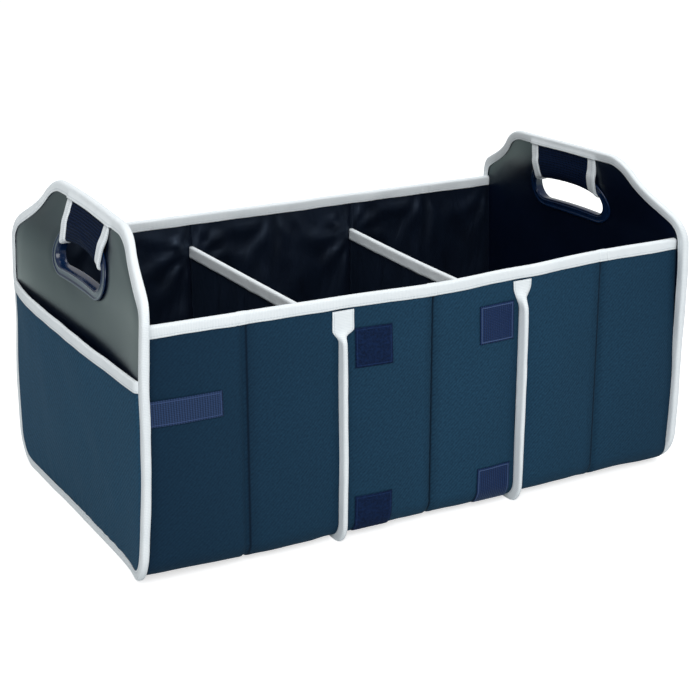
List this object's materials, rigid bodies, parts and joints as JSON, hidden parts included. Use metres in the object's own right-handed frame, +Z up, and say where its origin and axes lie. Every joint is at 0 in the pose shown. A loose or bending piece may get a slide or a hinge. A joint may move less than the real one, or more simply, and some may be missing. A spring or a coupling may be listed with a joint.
{
  "type": "collapsible car trunk organizer",
  "caption": "Open fabric trunk organizer with compartments in a row, tall end panels with carry handles, end pockets, taped edges and lifting floor flaps.",
  "frame": {"origin": "on the floor, at the centre of the organizer's footprint", "axes": "+X along the row of compartments to the right, -Y to the front wall with the hook and loop patches, +Z up"},
  "size_m": [0.6294, 0.37, 0.32],
  "materials": {
    "navy_polyester": "woven, matt",
    "black_nylon": "coated, soft sheen",
    "navy_vinyl": "smooth, satin",
    "white_tape": "ribbed, matt",
    "grey_card": "plain, matt",
    "navy_plastic": "moulded, glossy",
    "mesh_padding": "open knit, matt",
    "loop_pile": "brushed pile, matt",
    "hook_tape": "hooked, faint sheen"
  },
  "bodies": {
    "organizer": {"left_end_outer_skin": "navy_vinyl", "left_end_board": "grey_card", "left_end_inner_skin": "navy_vinyl", "left_end_binding": "white_tape", "left_handle_rim_outer": "navy_plastic", "left_handle_rim_inner": "navy_plastic", "left_grip_pad": "mesh_padding", "left_grip_tape_front": "white_tape", "left_grip_tape_rear": "white_tape", "left_pocket": "navy_polyester", "left_pocket_binding": "white_tape", "right_end_outer_skin": "navy_vinyl", "right_end_board": "grey_card", "right_end_inner_skin": "navy_vinyl", "right_end_binding": "white_tape", "right_handle_rim_outer": "navy_plastic", "right_handle_rim_inner": "navy_plastic", "right_grip_pad": "mesh_padding", "right_grip_tape_front": "white_tape", "right_grip_tape_rear": "white_tape", "right_pocket": "navy_polyester", "right_pocket_binding": "white_tape", "section_1_outer": "navy_polyester", "section_1_lining": "black_nylon", "section_2_outer": "navy_polyester", "section_2_lining": "black_nylon", "section_3_outer": "navy_polyester", "section_3_lining": "black_nylon", "front_board_1": "grey_card", "back_board_1": "grey_card", "front_board_2": "grey_card", "back_board_2": "grey_card", "front_board_3": "grey_card", "back_board_3": "grey_card", "front_board_4": "grey_card", "back_board_4": "grey_card", "front_board_5": "grey_card", "back_board_5": "grey_card", "front_board_6": "grey_card", "back_board_6": "grey_card", "divider_1": "black_nylon", "divider_1_top_binding": "white_tape", "divider_1_seam_binding": "white_tape", "divider_2": "black_nylon", "divider_2_top_binding": "white_tape", "divider_2_seam_binding": "white_tape", "front_top_binding": "white_tape", "back_top_binding": "white_tape", "upper_loop_patch": "loop_pile", "lower_loop_patch": "loop_pile", "upper_hook_patch": "hook_tape", "lower_hook_patch": "hook_tape", "end_hook_strip": "hook_tape"},
    "flap_1": {"floor_flap_1": "black_nylon"},
    "flap_2": {"floor_flap_2": "black_nylon"},
    "flap_3": {"floor_flap_3": "black_nylon"}
  },
  "joints": [
    {"name": "flap_1_lift", "type": "hinge", "parent": "organizer", "child": "flap_1", "pos_m": [-0.2917, 0, 0.0118], "axis": [0, -1, 0], "range_deg": [0, 88]},
    {"name": "flap_2_lift", "type": "hinge", "parent": "organizer", "child": "flap_2", "pos_m": [-0.0965, 0, 0.0118], "axis": [0, -1, 0], "range_deg": [0, 88]},
    {"name": "flap_3_lift", "type": "hinge", "parent": "organizer", "child": "flap_3", "pos_m": [0.1035, 0, 0.0118], "axis": [0, -1, 0], "range_deg": [0, 88]}
  ]
}
